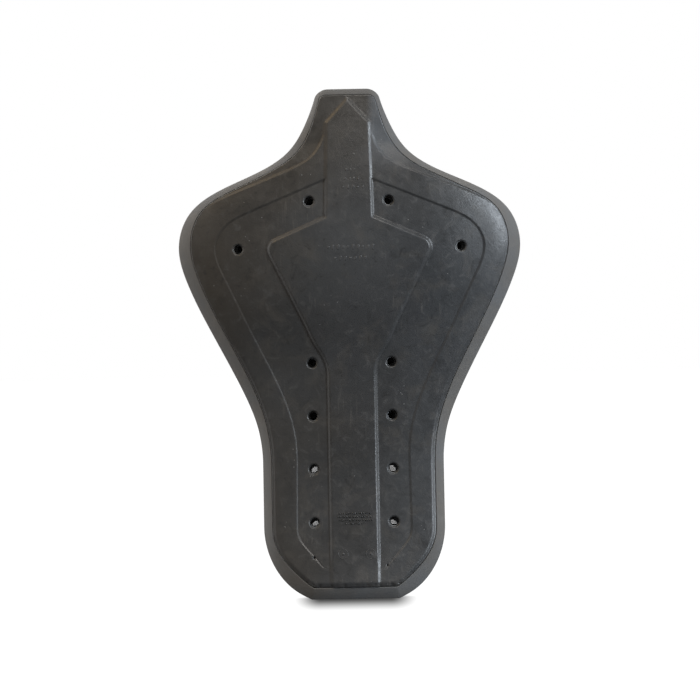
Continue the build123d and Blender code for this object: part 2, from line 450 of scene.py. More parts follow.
class Skin:
    """Vertices and faces of one closed mesh, gathered ring by ring."""

    def __init__(self):
        self.vertices = []
        self.faces = []
        self.count = 0

    def add(self, x, depth, z):
        """Adds points at these depths and gives their numbers."""
        first = self.count
        self.vertices.append(np.column_stack([x, depth + SHIFT, z]))
        self.count += len(x)
        return np.arange(first, self.count)

    def add_plan(self, plan, offset):
        """Adds plan points, offset behind the reference surface."""
        return self.add(plan[:, 0], reference_depth(plan[:, 0], plan[:, 1]) + offset, plan[:, 1])

    def bridge(self, first, second):
        """Joins two rings of equal count. Faces look out when second is further back."""
        a, b = first, np.roll(first, -1)
        c, d = np.roll(second, -1), second
        self.faces += [tuple(f) for f in np.column_stack([a, b, c, d])]

    def next_ring(self, ring, x, depth, z):
        """Adds a ring, joins it to the last one and gives its numbers."""
        added = self.add(x, depth, z)
        self.bridge(ring, added)
        return added

    def next_plan(self, ring, plan, offset):
        """The same for a ring at an offset behind the reference surface."""
        added = self.add_plan(plan, offset)
        self.bridge(ring, added)
        return added

    def fill(self, numbers, triangles, front):
        """Covers points with triangles that look forward, or back."""
        t = numbers[triangles]
        if not front:
            t = t[:, ::-1]
        self.faces += [tuple(f) for f in t]

    def made(self, name, material):
        mesh = bpy.data.meshes.new(name)
        mesh.from_pydata(np.vstack(self.vertices) * MM, [], self.faces)
        mesh.validate()
        mesh.materials.append(material)
        mesh.polygons.foreach_set("use_smooth", [True] * len(mesh.polygons))
        mesh.update()
        return placed(name, mesh)


def hole_ring(numbers, rim_count, i):
    """The ring of hole i, among the numbers of a plan whose rim comes first."""
    first = rim_count + i * VENT_SIDES
    return numbers[first : first + VENT_SIDES]


def vent_radius(depth):
    """Radius of a vent at a depth: it narrows towards the wearer."""
    return VENT_FRONT_RADIUS + (VENT_BACK_RADIUS - VENT_FRONT_RADIUS) * depth / LINER_BACK


def vent_ring(centre, depth, radius=None):
    """A ring square to the vent's axis: x, depth and z of its points."""
    axis = surface_normal(*centre)
    across = np.cross(axis, [0.0, 0.0, 1.0])
    across /= np.linalg.norm(across)
    up = np.cross(across, axis)
    radius = vent_radius(depth) if radius is None else radius
    start = float(reference_depth(np.array(centre[0]), np.array(centre[1])))
    middle = np.array([centre[0], start, centre[1]]) + axis * (depth * axis[1])
    ring = middle + radius * (np.cos(RING_TURNS)[:, None] * across + np.sin(RING_TURNS)[:, None] * up)
    return ring[:, 0], ring[:, 1], ring[:, 2]


# ======== outer shell

EDGE_ROUND = 0.9            # rounding of the shell's edge
GROOVE = 0.3                # gap between the shell and the rim
SHELL_INSET = EDGE_ROUND + GROOVE / 2
MOUTH_MARGIN = 0.5          # the vents' plan rings stand this far outside their mouths
MOUTH_ROUND = 1.5           # rounding of the vents' mouths
PITS = [(-35.9, 36.8, 1.0, 1.5), (28.3, 29.2, 0.75, 1.0)]   # x, z, radius and depth
PANEL_GROOVE = 0.4          # depth of the fine groove along the panels' feet
PANEL_GROOVE_REACH = 0.6
RAGGED_DEPTH = 0.7          # of the foot's edge
RAGGED_WIDTH = 3.2
RAGGED_TOP_Z = 16.0

# rows of mesh points beside the lines of the relief, by their distance
SPINE_ROWS = (0.0, 0.45, 0.9, 1.35, 1.75, 2.2, 2.8, 3.6)
PANEL_ROWS = (0.0, 0.35, 0.75, 1.25, 2.2)
CREASE_ROWS = (0.0, 0.35, 0.75, 1.15, 1.5, 2.1, 3.2, -0.5, -1.2)
EDGE_ROWS = (0.55, 1.1, 1.65, 2.3, 3.0, 3.9, 5.0, 7.0, 9.5, 12.0)
PIT_ROWS = (0.45, 0.8, 1.1, 1.4, 1.9)       # as shares of the pit's radius


def facet_fall(plan):
    """Fall of the surface outside the shoulder crease and above the arrow head."""
    z = plan[:, 1]
    mirrored = np.column_stack([np.abs(plan[:, 0]), z])
    away = distance_to(mirrored, FACET_FOOT, closed=False)
    slope = FACET_DROP * (1 - np.exp(-FACET_SLOPE * away / FACET_DROP))
    # steeper beside the neck, and gentler at the arrow head
    slope = slope * (1 + 0.9 * ramp(z, 385.0, 20.0) - 1.5 * ramp(z, 412.0, 14.0))
    step = CREASE_STEP * (1 - ramp(z, 400.0, 14.0))
    fall = step * wall(away / CREASE_WALL) + slope
    return np.where(inside(mirrored, RIGHT_FACET), fall, 0) * ramp(z, 334.0, 24.0)


def shell_back(plan):
    """Depth of the shell's back, which keeps most of its thickness under the facets."""
    return SHELL_THICKNESS + 0.7 * facet_fall(plan)


def shell_relief(plan):
    """How far the shell's front stands behind the reference surface."""
    x, z = plan[:, 0], plan[:, 1]
    raised = wall(0.5 - signed_distance(plan, SPINE) / SPINE_WALL, 0.4)
    depth = -SPINE_PROUD * raised + facet_fall(plan) * (1 - raised)
    for panel in (RIGHT_PANEL, LEFT_PANEL):
        sunk = wall(0.5 - signed_distance(plan, panel) / PANEL_WALL)
        depth = depth + PANEL_SUNK * sunk * ramp(z, 21.0, 26.0) * (1 - raised)
    # the shell rolls off over the shoulders, and has a narrow chamfer below them
    edge = -signed_distance(plan, PLATEAU) - SHELL_INSET
    shoulder = ramp(z, 190.0, 90.0) * (1 - ramp(z, 345.0, 25.0))
    roll = np.clip(1 - edge / 14.0, 0, 1) ** 2.2
    depth = depth + EDGE_ROLL * shoulder * roll
    foot = 1 - ramp(z, 12.0, 9.0)
    below_shoulder = (1 - shoulder) * (1 - ramp(z, 335.0, 10.0))
    depth = depth + EDGE_CHAMFER * below_shoulder * sloped(1 - edge / (3.0 + 1.2 * foot))
    for panel in (RIGHT_PANEL, LEFT_PANEL):
        groove = np.clip(1 - distance_to(plan, panel) / PANEL_GROOVE_REACH, 0, 1)
        low = ramp(z, 27.0, 3.0) * (1 - ramp(z, 46.0, 8.0))
        depth = depth + PANEL_GROOVE * groove * low * (1 - raised)
    for pit_x, pit_z, radius, deep in PITS:
        away = np.hypot(x - pit_x, z - pit_z) / radius
        depth = depth + deep * np.exp(-(away**4))
    ragged = np.sin(1.9 * x) * np.sin(0.73 * x + 1.0) + 0.5 * np.sin(3.7 * x + 2.0)
    return depth + RAGGED_DEPTH * np.maximum(ragged, 0) * wall(1 - edge / RAGGED_WIDTH) * (z < RAGGED_TOP_Z)


def row_along(loop, away, tolerance=0.12):
    """The loop moved out, without the stretches that fold over themselves at corners."""
    row = moved_out(loop, away)
    off = np.abs(distance_to(row, loop) - abs(away))
    return row[off < tolerance + 0.05 * abs(away)]


def feature_points():
    """Rows of points that follow each line of the relief, the sharpest first."""
    found = []
    for away in SPINE_ROWS:
        for signed in {away, -away}:
            found.append(row_along(SPINE, signed))
    for away in PANEL_ROWS:
        for signed in {away, -away}:
            row = row_along(RIGHT_PANEL, signed)
            found += [row, row * MIRROR]
    for away in CREASE_ROWS:
        row = moved_out(RIGHT_FACET, away)[: len(RIGHT_CREASE)]
        found += [row, row * MIRROR]
    for inset in EDGE_ROWS:
        found.append(row_along(PLATEAU, -SHELL_INSET - inset, 0.3))
    pits = [circle(pit[:2], pit[2] * share)[::3] for pit in PITS for share in PIT_ROWS]
    return np.vstack(pits + found)


def shell_plan():
    rim = moved_out(PLATEAU, -SHELL_INSET)
    holes = [circle(v, VENT_MOUTH_RADIUS + MOUTH_MARGIN) for v in VENTS]
    rings = np.vstack([circle(v, VENT_MOUTH_RADIUS + r) for v in VENTS for r in (1.3, 2.6)])
    fixed = np.vstack([rim] + holes)
    features = thinned(np.vstack([rings, feature_points()]), 0.45, kept=fixed)
    grid = thinned(hex_grid(3.4), 1.9, kept=np.vstack([fixed, features]))
    inner = well_inside(np.vstack([features, grid]), rim, 0.35, VENTS, VENT_MOUTH_RADIUS + 0.9)
    return triangulated([rim] + holes, inner)


def shell_piece(material):
    plan, triangles = shell_plan()
    skin = Skin()
    front_offset = shell_relief(plan)
    front = skin.add_plan(plan, front_offset)
    skin.fill(front, triangles, True)
    n = len(PLATEAU)
    # edge: rounded over, then down the side of the shell
    outside = front[:n]
    top = front_offset[:n]
    base = moved_out(PLATEAU, -SHELL_INSET)
    for turn in (22, 45, 67, 90):
        a = math.radians(turn)
        ring_plan = base + outward(PLATEAU) * EDGE_ROUND * math.sin(a)
        depth = reference_depth(base[:, 0], base[:, 1]) + top + EDGE_ROUND * (1 - math.cos(a))
        outside = skin.next_ring(outside, ring_plan[:, 0], depth, ring_plan[:, 1])
    side_plan = base + outward(PLATEAU) * EDGE_ROUND
    back_outer = skin.next_plan(outside, side_plan, shell_back(side_plan))
    # back, with the same plan
    back = skin.add_plan(plan, shell_back(plan))
    skin.fill(back, triangles, False)
    skin.bridge(back_outer, back[:n])
    for i, vent in enumerate(VENTS):
        ring = hole_ring(front, n, i)
        for turn in (18, 40, 65, 90):
            a = math.radians(turn)
            radius = VENT_FRONT_RADIUS + MOUTH_ROUND * (1 - math.sin(a))
            below = skin.add(*vent_ring(vent, PANEL_SUNK + MOUTH_ROUND * (1 - math.cos(a)), radius))
            skin.bridge(below, ring)
            ring = below
        tail = skin.add(*vent_ring(vent, SHELL_THICKNESS))
        skin.bridge(tail, ring)
        skin.bridge(hole_ring(back, n, i), tail)
    return skin.made("outer_shell_skin", material)


# ======== mould marks

MARK_SUNK = 0.06            # depth of the marks' feet in the shell
FOOT_ROWS = [               # middle x, middle z, number of ribs, pitch, rib width, rib height, proud
    (0.4, 75.2, 15, 1.9, 1.3, 2.2, 0.40),
    (0.0, 72.2, 16, 1.9, 1.3, 2.2, 0.40),
    (1.0, 69.2, 16, 1.9, 1.3, 2.2, 0.40),
    (0.4, 66.2, 9, 1.9, 1.3, 2.0, 0.40),
]
UPPER_ROWS = [
    (1.0, 309.6, 10, 4.4, 2.6, 5.6, 0.06),
    (0.8, 299.8, 7, 4.4, 2.6, 5.2, 0.06),
    (2.0, 378.0, 3, 3.8, 2.2, 3.6, 0.06),
    (3.0, 370.0, 4, 3.8, 2.2, 4.0, 0.06),
    (4.0, 362.5, 5, 4.2, 2.4, 4.8, 0.07),
]
FOOT_CREST = 0.5            # width of a rib's crest, as a share of its foot
UPPER_CREST = 0.35
MARK_RINGS = [(-10.5, 39.8), (14.0, 39.4)]
RING_PROUD = 0.13


def rib(skin, x, z, wide, tall, proud, crest_share):
    """One low rib with sloping sides."""
    corners = np.array([(-0.5, -0.5), (0.5, -0.5), (0.5, 0.5), (-0.5, 0.5)])
    foot = corners * (wide, tall) + (x, z)
    crest = corners * (wide * crest_share, tall - wide * (1 - crest_share)) + (x, z)
    low = skin.add_plan(foot, MARK_SUNK - SPINE_PROUD)
    high = skin.add_plan(crest, -SPINE_PROUD - proud)
    skin.faces += [tuple(high), tuple(low[::-1])]
    skin.bridge(low, high)


def ring_mark(skin, centre):
    """A low round ring with a stud in its middle."""
    for outer, inner in ((4.6, 4.0), (1.3, 0.0)):
        foot = skin.add_plan(circle(centre, outer)[::-1], MARK_SUNK - SPINE_PROUD)
        crest = skin.add_plan(circle(centre, outer - 0.25)[::-1], -SPINE_PROUD - RING_PROUD)
        skin.bridge(foot, crest)
        if inner:
            inner_crest = skin.add_plan(circle(centre, inner + 0.1)[::-1], -SPINE_PROUD - RING_PROUD)
            inner_foot = skin.add_plan(circle(centre, inner - 0.15)[::-1], MARK_SUNK - SPINE_PROUD)
            skin.bridge(crest, inner_crest)
            skin.bridge(inner_crest, inner_foot)
            skin.bridge(inner_foot, foot)
        else:
            skin.faces += [tuple(crest), tuple(foot[::-1])]


def marks_piece(name, rows, crest_share, rings, material):
    skin = Skin()
    for x, z, ribs, pitch, wide, tall, proud in rows:
        for i in range(ribs):
            lean = 0.25 * math.sin(2.3 * i + z)
            share = 0.75 + 0.25 * math.cos(1.7 * i + 0.6 * z)
            rib(skin, x + (i - (ribs - 1) / 2) * pitch + lean, z, wide, tall * share, proud, crest_share)
    for centre in rings:
        ring_mark(skin, centre)
    return skin.made(name, material)


# ======== base pad

PAD_HOLE_RADIUS = 3.7
LIP_PROFILE = [(0.0, 4.0), (0.0, RIM_INNER_DEPTH + 0.7), (0.12, RIM_INNER_DEPTH + 0.25)]   # out and depth
BEVEL_SHARES = (0.05, 0.12, 0.22, 0.36, 0.52, 0.68, 0.82, 0.92, 0.975)
BEVEL_CROWN = 0.55
SIDE_PROFILE = [            # inset and depth
    (0.05, 9.5), (0.0, 10.2), (0.0, 11.2), (0.0, 12.2), (0.25, 13.0), (0.8, 13.65), (1.7, 14.0),
]


def plain_plan(loop, hole_radius, spacing):
    holes = [circle(v, hole_radius) for v in VENTS]
    rings = np.vstack([circle(v, hole_radius + 2.0) for v in VENTS])
    fixed = np.vstack([loop] + holes)
    inner = thinned(rings, 0.6, kept=fixed)
    grid = thinned(hex_grid(spacing), spacing * 0.55, kept=np.vstack([fixed, inner]))
    inner = well_inside(np.vstack([inner, grid]), loop, 0.8, VENTS, hole_radius + 1.0)
    return triangulated([loop] + holes, inner)


def pad_piece(material):
    """Tray-shaped moulding: bevelled rim, lip, pocket, side and back."""
    lip = moved_out(PLATEAU, GROOVE / 2)
    plan, triangles = plain_plan(lip, PAD_HOLE_RADIUS, 9.0)
    skin = Skin()
    n = len(lip)
    floor = skin.add_plan(plan, FLOOR_FRONT)
    skin.fill(floor, triangles, True)
    top = reference_depth(lip[:, 0], lip[:, 1]) + 0.95 * facet_fall(moved_out(PLATEAU, -1.0))
    edge = reference_depth(OUTER[:, 0], OUTER[:, 1])
    ring = floor[:n]
    # up the pocket wall to the lip, then down the bevel to the outer edge
    for out_by, depth in LIP_PROFILE:
        at = lip + outward(PLATEAU) * out_by
        ring = skin.next_ring(ring, at[:, 0], top + depth, at[:, 1])
    for share in BEVEL_SHARES:
        at = lip + (OUTER - lip) * share
        crown = BEVEL_CROWN * math.sin(math.pi * share)
        slope = RIM_INNER_DEPTH + (RIM_OUTER_DEPTH - RIM_INNER_DEPTH) * share
        depth = top + (edge - top) * share + slope - crown
        ring = skin.next_ring(ring, at[:, 0], depth, at[:, 1])
    out = outward(OUTER)
    for inset, depth in SIDE_PROFILE:
        at = OUTER - out * inset
        ring = skin.next_ring(ring, at[:, 0], edge + depth, at[:, 1])
    for share in (0.35, 0.7):
        at = (OUTER - out * SIDE_PROFILE[-1][0]) * (1 - share) + lip * share
        ring = skin.next_plan(ring, at, PAD_BACK)
    back = skin.add_plan(plan, PAD_BACK)
    skin.fill(back, triangles, False)
    skin.bridge(ring, back[:n])
    for i, vent in enumerate(VENTS):
        near = skin.add(*vent_ring(vent, FLOOR_FRONT + 0.2))
        far = skin.add(*vent_ring(vent, PAD_BACK - 0.2))
        skin.bridge(near, hole_ring(floor, n, i))
        skin.bridge(far, near)
        skin.bridge(hole_ring(back, n, i), far)
    return skin.made("base_pad_moulding", material)


# ======== absorbers

BLOCK_GAP = 0.35            # the foam blocks are cut a little small
GLUE_GAP = 0.1
BLOCK_HOLE_RADIUS = 3.9
BLOCK_HOLE_MARGIN = 4.5     # a vent nearer to a block's edge than this cuts no hole
BLOCK_BULGES = [(0.2, 0.08), (0.3, 0.3), (0.3, 0.7), (0.2, 0.92)]   # bulge, and share of the depth
BULGE_PART = 0.9


def block_piece(name, loop, material):
    """One impact foam block, cut from sheet, with crowned edges."""
    rim = moved_out(loop, -BLOCK_GAP)
    near_back = FLOOR_FRONT - GLUE_GAP
    holes = [v for v in VENTS if signed_distance(np.array([v]), rim)[0] < -BLOCK_HOLE_MARGIN]
    plan, triangles = wide_plan(rim, holes, BLOCK_HOLE_RADIUS, 1.0, 9.0)
    skin = Skin()
    n = len(rim)
    front = skin.add_plan(plan, shell_back(plan) + GLUE_GAP)
    skin.fill(front, triangles, True)
    ring = front[:n]
    out = outward(loop)
    for bulge, share in BLOCK_BULGES:
        depth = (1 - share) * (shell_back(rim) + GLUE_GAP) + share * near_back
        ring = skin.next_plan(ring, rim + out * bulge * BULGE_PART, depth)
    back = skin.add_plan(plan, near_back)
    skin.fill(back, triangles, False)
    skin.bridge(ring, back[:n])
    for i in range(len(holes)):
        skin.bridge(hole_ring(back, n, i), hole_ring(front, n, i))
    return skin.made(name, material)


def spine_block_outlines():
    """Plans of the spine block and of the right wing block."""
    start = int(np.argmax(PLATEAU[: len(PLATEAU) // 2, 1] < NECK_BLOCK_Z))
    half = len(PLATEAU) // 2
    neck_edge = PLATEAU[1:start]
    wing_edge = PLATEAU[start : half + 1]
    wing_edge = wing_edge[wing_edge[:, 0] > SPINE_HALF_WIDTH + 1.0]
    inner = joined(SPINE_HALF[2:7], counts_of(SPINE_HALF[2:7], 4.0))
    inner = inner[inner[:, 1] > PLATEAU_FOOT_Z]
    foot = np.array([(SPINE_HALF_WIDTH, PLATEAU_FOOT_Z)])
    neck_corner = np.array([(SPINE_HALF_WIDTH, NECK_BLOCK_Z)])
    right = np.vstack([neck_edge, neck_corner, inner, foot])
    spine = np.vstack([right, right[::-1] * MIRROR])
    wing = np.vstack([neck_corner, wing_edge, foot, inner[::-1]])
    return spine, wing


# ======== body liner

LINER_INSET = 0.8
PILLOW_PITCH = 9.5          # of the quilted cells
PILLOW_HEIGHT = 0.6
BORDER_WIDTH = 6.5          # pressed flat border
BORDER_PRESS = 1.3
CHANNEL_WIDTH = 2.8
CHANNEL_PRESS = 1.25
CHANNEL = np.array([(25.0, 20.0), (25.0, 205.0), (66.0, 292.0), (66.0, 330.0), (25.0, 352.0), (16.0, 425.0)])
VENT_PRESS_RADIUS = 5.6     # middle of the ring pressed round each vent
LINER_HOLE_RADIUS = 3.3
LINER_BULGE = 0.3
OPEN_VENT_TOP = 120.0       # the vents above this height end at the mesh
NET_RADIUS = 3.5            # of the see-through net across each open vent
NET_PITCH = 1.0
NET_THREAD = 0.55
NET_THICK = 0.16
NET_DEPTH = 0.5


def liner_relief(plan):
    """How far the liner's back is pressed in from its full thickness."""
    x, z = plan[:, 0], plan[:, 1]
    wave = 2 * np.pi / PILLOW_PITCH
    cells = sum(
        np.cos(wave * (x * math.cos(a) + z * math.sin(a))) for a in (0.0, math.pi / 3, 2 * math.pi / 3)
    )
    quilted = PILLOW_HEIGHT * (3 - cells) / 4.5
    edge = -signed_distance(plan, PLATEAU)
    border = 1 - ramp(edge, BORDER_WIDTH, 2.2)
    pressed = BORDER_PRESS * border
    away = distance_to(np.column_stack([np.abs(x), z]), CHANNEL, closed=False)
    pressed = np.maximum(pressed, CHANNEL_PRESS * (1 - smooth(away / CHANNEL_WIDTH)))
    for vent in VENTS:
        away = np.hypot(x - vent[0], z - vent[1])
        ring = 1 - smooth((np.abs(away - VENT_PRESS_RADIUS) - 1.2) / 1.3)
        pressed = np.maximum(pressed, CHANNEL_PRESS * ring)
    loft = 1 - pressed / BORDER_PRESS
    return pressed + quilted * np.clip(loft, 0, 1)


def open_net(skin, vent):
    """See-through threads of the liner across an open vent, both ways."""
    reach = NET_RADIUS // NET_PITCH * NET_PITCH
    for turned in (False, True):
        for shift in np.arange(-reach, reach + 0.01, NET_PITCH):
            length = math.sqrt(NET_RADIUS**2 - shift**2)
            wide = np.array([(-1, -1), (-1, 1), (1, 1), (1, -1)]) * (length, NET_THREAD / 2) + (0, shift)
            plan = (wide[::-1, ::-1] if turned else wide) + np.array(vent)
            depth = LINER_FRONT + NET_DEPTH + (NET_THICK if turned else 0.0)
            near = skin.add_plan(plan, depth)
            far = skin.add_plan(plan, depth + NET_THICK)
            skin.faces += [tuple(near[::-1]), tuple(far)]
            skin.bridge(near, far)


def liner_piece(material):
    rim = moved_out(PLATEAU, -LINER_INSET)
    opened = [v for v in VENTS if v[1] < OPEN_VENT_TOP]
    holes = [circle(v, LINER_HOLE_RADIUS) for v in opened]
    rings = np.vstack([circle(v, r) for v in VENTS for r in (4.4, VENT_PRESS_RADIUS, 6.8, 8.0)])
    border = np.vstack([moved_out(PLATEAU, -w) for w in (2.5, 4.5, 6.5, 7.3, 8.1, 9.0)])
    fixed = np.vstack([rim] + holes)
    rings = thinned(np.vstack([rings, border]), 0.7, kept=fixed)
    grid = thinned(hex_grid(1.9), 1.05, kept=np.vstack([fixed, rings]))
    inner = well_inside(np.vstack([rings, grid]), rim, 0.5, opened, LINER_HOLE_RADIUS + 0.5)
    plan, triangles = triangulated([rim] + holes, inner)
    flat_plan, flat_triangles = wide_plan(rim, opened, LINER_HOLE_RADIUS, 1.2, 8.0)
    skin = Skin()
    n = len(rim)
    front = skin.add_plan(flat_plan, LINER_FRONT)
    skin.fill(front, flat_triangles, True)
    back = skin.add_plan(plan, LINER_BACK - liner_relief(plan))
    skin.fill(back, triangles, False)
    middle = skin.add_plan(moved_out(rim, LINER_BULGE), (LINER_FRONT + LINER_BACK - BORDER_PRESS) / 2)
    skin.bridge(front[:n], middle)
    skin.bridge(middle, back[:n])
    for i in range(len(holes)):
        skin.bridge(hole_ring(back, n, i), hole_ring(front, n, i))
        open_net(skin, opened[i])
    return skin.made("body_liner_mesh", material)


# ======== materials

def add_node(tree, kind, values=None, **settings):
    """Adds a node, whose values are numbers or sockets to link."""
    made = tree.nodes.new(kind)
    for key, value in settings.items():
        setattr(made, key, value)
    for key, value in (values or {}).items():
        if isinstance(value, bpy.types.NodeSocket):
            tree.links.new(value, made.inputs[key])
        else:
            made.inputs[key].default_value = value
    return made


def mapped(tree, value, low, high, to_low, to_high, **settings):
    """Maps low..high of a value to to_low..to_high, clamped."""
    values = {"Value": value, "From Min": low, "From Max": high, "To Min": to_low, "To Max": to_high}
    return add_node(tree, "ShaderNodeMapRange", values, **settings).outputs["Result"]


class Look:
    """A node material, built step by step."""

    def __init__(self, name, roughness, specular=0.5):
        self.material = bpy.data.materials.new(name)
        self.material.use_nodes = True
        self.tree = self.material.node_tree
        self.shader = self.tree.nodes["Principled BSDF"]
        self.fix("Roughness", roughness)
        self.fix("Specular IOR Level", specular)
        self.place = self.tree.nodes.new("ShaderNodeTexCoord").outputs["Object"]

    def node(self, kind, values=None, **settings):
        return add_node(self.tree, kind, values, **settings)

    def stretched(self, scale, turn=(0, 0, 0)):
        """Object coordinates scaled along each axis."""
        made = self.node("ShaderNodeMapping", {"Vector": self.place, "Scale": scale, "Rotation": turn})
        return made.outputs["Vector"]

    def noise(self, scale, detail=3.0, roughness=0.55, place=None, distortion=0.0):
        made = self.node(
            "ShaderNodeTexNoise",
            {"Vector": place or self.place, "Scale": scale, "Detail": detail,
             "Roughness": roughness, "Distortion": distortion},
        )
        return made.outputs["Fac"]

    def cells(self, scale, feature="F1", place=None, randomness=1.0):
        made = self.node(
            "ShaderNodeTexVoronoi",
            {"Vector": place or self.place, "Scale": scale, "Randomness": randomness},
            feature=feature,
        )
        return made.outputs["Distance"]

    def between(self, value, low, high, to_low=0.0, to_high=1.0, **settings):
        return mapped(self.tree, value, low, high, to_low, to_high, **settings)

    def calc(self, operation, a, b):
        return self.node("ShaderNodeMath", {0: a, 1: b}, operation=operation).outputs[0]

    def length(self, vector):
        return self.node("ShaderNodeVectorMath", {0: vector}, operation="LENGTH").outputs["Value"]

    def mixed(self, share, a, b):
        return self.node("ShaderNodeMix", {0: share, 6: a, 7: b}, data_type="RGBA").outputs[2]

    def tinted(self, tone, share, strength, colour):
        """The tone, mixed with a colour by share times strength."""
        return self.mixed(self.calc("MULTIPLY", share, strength), tone, colour)

    def bump(self, height, distance, strength=1.0, under=None):
        values = {"Height": height, "Distance": distance, "Strength": strength}
        if under is not None:
            values["Normal"] = under
        return self.node("ShaderNodeBump", values).outputs["Normal"]

    def put(self, socket, value):
        self.tree.links.new(value, self.shader.inputs[socket])

    def fix(self, socket, value):
        self.shader.inputs[socket].default_value = value


def grey(value, tint=(1, 1, 1)):
    return (value * tint[0], value * tint[1], value * tint[2], 1)


COOL = (0.96, 1.0, 1.05)
WARM = (1.08, 1.0, 0.90)
BROWN = (1.22, 1.0, 0.72)
BLUE = (0.88, 0.99, 1.14)


def shell_look(name, tone_share):
    """Satin moulded skin: grain, smudges, cloudy gloss, scuffs, dust, worn edges with a painted highlight,
    painted shade and dirt in the hollows, a tint of painted warm and cool light by side, and painted shade
    and highlight at the neck.
    """
    look = Look(name, 0.45, 0.5)

    def shade(value, tint=(1, 1, 1)):
        return grey(value * tone_share, tint)

    clouds = look.noise(11, 4, 0.6)
    tone = look.mixed(look.between(clouds, 0.35, 0.65), shade(0.024), shade(0.034, COOL))
    # painted light: a warm brown tint towards the left and the neck and a cool blue one towards the right
    # stand in for the warm light from the upper left and the cool key light from the right
    sides = look.node("ShaderNodeSeparateXYZ", {0: look.place})
    lean = look.calc("ADD", sides.outputs["X"], look.between(look.noise(9, 3), 0.3, 0.7, -0.06, 0.06))
    lean = look.calc("SUBTRACT", lean, look.between(sides.outputs["Z"], 0.30, 0.45, 0.0, 0.10))
    tone = look.mixed(look.between(lean, -0.16, -0.03, 0.6, 0.0), tone, shade(0.036, BROWN))
    tone = look.mixed(look.between(lean, -0.04, 0.12, 0.0, 0.6), tone, shade(0.026, BLUE))
    # the middle of the upper back is rubbed paler
    middle = look.node("ShaderNodeMapping", {"Vector": look.place, "Location": (0.006, 0, -0.300)})
    rubbed = look.calc("MULTIPLY", look.between(look.length(middle.outputs[0]), 0.075, 0.030),
                       look.between(clouds, 0.3, 0.6, 0.5, 1.0))
    tone = look.tinted(tone, rubbed, 0.7, shade(0.044, COOL))
    blotches = look.noise(38, 5, 0.65, distortion=0.6)
    tone = look.mixed(look.between(blotches, 0.50, 0.70, 0, 0.5), tone, shade(0.054, WARM))
    smudges = look.noise(115, 4, 0.7, distortion=0.8)
    tone = look.mixed(look.between(smudges, 0.42, 0.30, 0, 0.5), tone, shade(0.016))
    tone = look.mixed(look.between(smudges, 0.56, 0.70, 0, 0.45), tone, shade(0.058))
    # scuffs run mostly up and down
    streaks = look.noise(1.0, 3, 0.5, place=look.stretched((420, 420, 26), (0, 0.12, 0)))
    patches = look.between(look.noise(22, 2), 0.5, 0.66)
    scuff = look.calc("MULTIPLY", look.between(streaks, 0.6, 0.78), patches)
    tone = look.tinted(tone, scuff, 0.45, shade(0.085, WARM))
    # worn, glossier edges with a painted highlight, and painted shade with dirt in the hollows, which also
    # reflect less
    bend = look.node("ShaderNodeNewGeometry").outputs["Pointiness"]
    edge_wear_and_highlight = look.calc("MULTIPLY", look.between(bend, 0.52, 0.60), look.between(clouds, 0.3, 0.6, 0.4, 1.0))
    tone = look.tinted(tone, edge_wear_and_highlight, 0.25, shade(0.075, COOL))
    hollow_shade_and_dirt = look.between(bend, 0.492, 0.455, 0.0, 0.85)
    tone = look.mixed(hollow_shade_and_dirt, tone, shade(0.008, BROWN))
    look.put("Specular IOR Level", look.between(bend, 0.492, 0.45, 0.5, 0.12))
    # painted shade: the neck, which faces up into the top light, is darkened, but for its right side
    neck = look.calc("MULTIPLY", look.between(sides.outputs["Z"], 0.335, 0.40),
                     look.between(sides.outputs["X"], 0.026, 0.016))
    tone = look.tinted(tone, neck, 0.4, shade(0.012, BROWN))
    # painted highlight: the neck's right side, where the cool key light falls, is painted paler and bluer
    neck_painted_highlight = look.calc("MULTIPLY", look.between(sides.outputs["Z"], 0.375, 0.405),
                         look.between(sides.outputs["X"], 0.017, 0.023))
    tone = look.tinted(tone, neck_painted_highlight, 0.6, shade(0.075, BLUE))
    # pale specks of dust
    specks = look.cells(210)
    dust = look.calc("MULTIPLY", look.between(specks, 0.10, 0.05),
                     look.between(look.noise(31, 1), 0.60, 0.63))
    tone = look.tinted(tone, dust, 0.6, grey(0.34))
    look.put("Base Color", tone)
    gloss = look.calc("ADD", look.between(clouds, 0.3, 0.7, 0.32, 0.44), look.between(scuff, 0, 1, 0, 0.15))
    gloss = look.calc("SUBTRACT", gloss, look.between(bend, 0.51, 0.56, 0.0, 0.03))
    gloss = look.calc("ADD", gloss, look.between(smudges, 0.3, 0.7, -0.07, 0.08))
    look.put("Roughness", gloss)
    grain = look.bump(look.cells(1500), 0.00006, 0.5)
    dimple = look.bump(look.noise(620, 3, 0.6), 0.00012, 0.4, grain)
    rippled = look.bump(smudges, 0.00045, 0.35, dimple)
    wavy = look.bump(look.noise(26, 2, 0.4), 0.0011, 0.35, rippled)
    look.put("Normal", wavy)
    return look.material


def pad_look():
    """Matte closed skin of a soft moulding: even grain and a dusty bloom."""
    look = Look("pad_skin", 0.72, 0.35)
    clouds = look.noise(20, 4, 0.6)
    tone = look.mixed(look.between(clouds, 0.3, 0.7), grey(0.080, WARM), grey(0.100, COOL))
    rubs = look.between(look.noise(70, 5, 0.7, distortion=0.4), 0.54, 0.74, 0, 0.35)
    tone = look.mixed(rubs, tone, grey(0.15, WARM))
    pits = look.between(look.cells(900), 0.12, 0.05, 0, 0.5)
    tone = look.mixed(pits, tone, grey(0.045))
    # painted shade: the rim is darker towards the top of the neck, which faces up into the top light
    sides = look.node("ShaderNodeSeparateXYZ", {0: look.place})
    tone = look.mixed(look.between(sides.outputs["Z"], 0.39, 0.45, 0.0, 0.55), tone, grey(0.04, WARM))
    look.put("Base Color", tone)
    look.put("Roughness", look.between(clouds, 0.3, 0.7, 0.62, 0.82))
    look.fix("Sheen Weight", 0.12)
    look.fix("Sheen Roughness", 0.5)
    grain = look.bump(look.cells(1300), 0.00010, 0.55)
    look.put("Normal", look.bump(look.noise(240, 4, 0.6), 0.00018, 0.5, grain))
    return look.material


